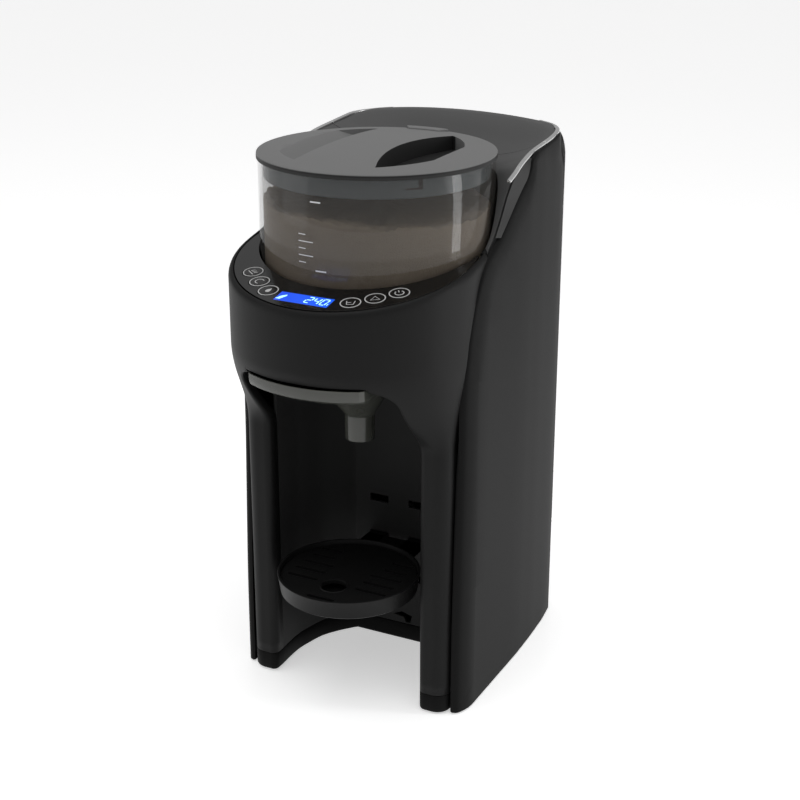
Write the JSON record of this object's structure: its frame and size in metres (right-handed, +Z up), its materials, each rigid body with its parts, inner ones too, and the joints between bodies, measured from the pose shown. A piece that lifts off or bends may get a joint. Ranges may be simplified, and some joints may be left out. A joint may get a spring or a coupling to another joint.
{
  "type": "baby formula maker",
  "caption": "Tall black worktop machine with a clear powder hopper on top, a sloping control ring, a funnel over a front bottle bay with a slotted drip tray, and a rear water tank.",
  "frame": {"origin": "middle of the footprint, on the worktop", "axes": "+Z up, -Y the front with the bottle bay, +X to the right as seen by someone who faces the front"},
  "size_m": [0.157, 0.228, 0.34],
  "materials": {
    "matte_black": "fine matte texture",
    "satin_black": "satin",
    "gloss_black": "polished",
    "key_black": "satin gloss",
    "lid_grey": "satin",
    "silver": "bright",
    "smoke_clear": "clear, lightly smoked plastic",
    "smoke_funnel": "frosted translucent plastic",
    "milk_powder": "loose powder",
    "silicone": "soft matte",
    "white_plastic": "natural moulded plastic",
    "steel": "plain",
    "board_green": "lacquered board",
    "display_blue": "backlit display",
    "black_rubber": "soft matte"
  },
  "bodies": {
    "machine": {"base_frame": "satin_black", "foot_front_left": "black_rubber", "foot_front_right": "black_rubber", "foot_rear_left": "black_rubber", "foot_rear_right": "black_rubber", "case_screw_1": "steel", "case_screw_2": "steel", "case_screw_3": "steel", "case_screw_4": "steel", "front_shell": "matte_black", "bay_liner": "matte_black", "left_side_panel": "satin_black", "right_side_panel": "satin_black", "left_accent_strip": "silver", "right_accent_strip": "silver", "rear_frame": "satin_black", "top_deck": "matte_black", "control_ring": "gloss_black", "display_window": "gloss_black", "display_module": "display_blue", "key_board": "board_green", "head_floor": "satin_black", "hopper_seat": "satin_black", "gear_motor": "steel", "water_nozzle": "white_plastic", "tank_housing": "satin_black", "tank_coupling": "silicone", "water_pump": "white_plastic", "heater_block": "steel", "supply_tube": "silicone", "pump_tube": "silicone", "outlet_tube": "silicone", "main_board": "board_green", "cord_gland": "black_rubber", "bottle_sensor": "key_black"},
    "hopper": {"hopper_body": "smoke_clear", "hopper_base": "matte_black", "powder_bed": "milk_powder"},
    "lid": {"hopper_lid": "lid_grey", "lid_gasket": "silicone"},
    "dosing": {"dosing_wheel": "white_plastic", "stirring_paddle": "white_plastic"},
    "drive": {"drive_shaft": "steel", "drive_gear": "white_plastic"},
    "pinion": {"motor_pinion": "white_plastic"},
    "funnel_body": {"funnel": "smoke_funnel"},
    "tray": {"drip_tray": "matte_black"},
    "grid": {"tray_grid": "matte_black"},
    "tank": {"water_tank": "smoke_clear", "lid_hinge_pin": "steel", "valve_spring": "steel"},
    "tank_cover": {"tank_lid": "matte_black"},
    "valve": {"valve_plunger": "white_plastic", "valve_seal": "silicone"},
    "key_powder_cap": {"key_powder": "key_black"},
    "key_temperature_cap": {"key_temperature": "key_black"},
    "key_amount_cap": {"key_amount": "key_black"},
    "key_units_cap": {"key_units": "key_black"},
    "key_start_cap": {"key_start": "key_black"},
    "key_power_cap": {"key_power": "key_black"}
  },
  "joints": [
    {"name": "hopper_lift", "type": "slide", "parent": "machine", "child": "hopper", "axis": [0, 0, 1], "range_m": [0, 0.09]},
    {"name": "lid_lift", "type": "slide", "parent": "hopper", "child": "lid", "axis": [0, 0, 1], "range_m": [0, 0.06]},
    {"name": "drive_spin", "type": "hinge", "parent": "machine", "child": "drive", "pos_m": [0, -0.014, 0.232], "axis": [0, 0, 1], "continuous": true},
    {"name": "dosing_spin", "type": "hinge", "parent": "hopper", "child": "dosing", "pos_m": [0, -0.014, 0.248], "axis": [0, 0, 1], "continuous": true},
    {"name": "pinion_spin", "type": "hinge", "parent": "machine", "child": "pinion", "pos_m": [0, 0.0306, 0.232], "axis": [0, 0, 1], "continuous": true},
    {"name": "funnel_pull", "type": "slide", "parent": "machine", "child": "funnel_body", "axis": [0, -1, 0], "range_m": [0, 0.07]},
    {"name": "tray_pull", "type": "slide", "parent": "machine", "child": "tray", "axis": [0, -1, 0], "range_m": [0, 0.05]},
    {"name": "grid_lift", "type": "slide", "parent": "tray", "child": "grid", "axis": [0, 0, 1], "range_m": [0, 0.03]},
    {"name": "tank_lift", "type": "slide", "parent": "machine", "child": "tank", "axis": [0, 0, 1], "range_m": [0, 0.12]},
    {"name": "tank_lid_hinge", "type": "hinge", "parent": "tank", "child": "tank_cover", "pos_m": [0, 0.1088, 0.3026], "axis": [-1, 0, 0], "range_deg": [0, 80]},
    {"name": "valve_slide", "type": "slide", "parent": "tank", "child": "valve", "axis": [0, 0, 1], "range_m": [0, 0.003], "stiffness_N_per_m": 80, "springref_m": -0.004, "deforming": ["valve_spring"]},
    {"name": "key_powder_press", "type": "slide", "parent": "machine", "child": "key_powder_cap", "axis": [0, 0.1961, -0.9806], "range_m": [0, 0.0008], "stiffness_N_per_m": 300, "springref_m": -0.0006},
    {"name": "key_temperature_press", "type": "slide", "parent": "machine", "child": "key_temperature_cap", "axis": [0, 0.1961, -0.9806], "range_m": [0, 0.0008], "stiffness_N_per_m": 300, "springref_m": -0.0006},
    {"name": "key_amount_press", "type": "slide", "parent": "machine", "child": "key_amount_cap", "axis": [0, 0.1961, -0.9806], "range_m": [0, 0.0008], "stiffness_N_per_m": 300, "springref_m": -0.0006},
    {"name": "key_units_press", "type": "slide", "parent": "machine", "child": "key_units_cap", "axis": [0, 0.1961, -0.9806], "range_m": [0, 0.0008], "stiffness_N_per_m": 300, "springref_m": -0.0006},
    {"name": "key_start_press", "type": "slide", "parent": "machine", "child": "key_start_cap", "axis": [0, 0.1961, -0.9806], "range_m": [0, 0.0008], "stiffness_N_per_m": 300, "springref_m": -0.0006},
    {"name": "key_power_press", "type": "slide", "parent": "machine", "child": "key_power_cap", "axis": [0, 0.1961, -0.9806], "range_m": [0, 0.0008], "stiffness_N_per_m": 300, "springref_m": -0.0006}
  ],
  "couplings": [
    {"joint": "dosing_spin", "follows": "drive_spin", "ratio": 1},
    {"joint": "pinion_spin", "follows": "drive_spin", "ratio": -3}
  ]
}
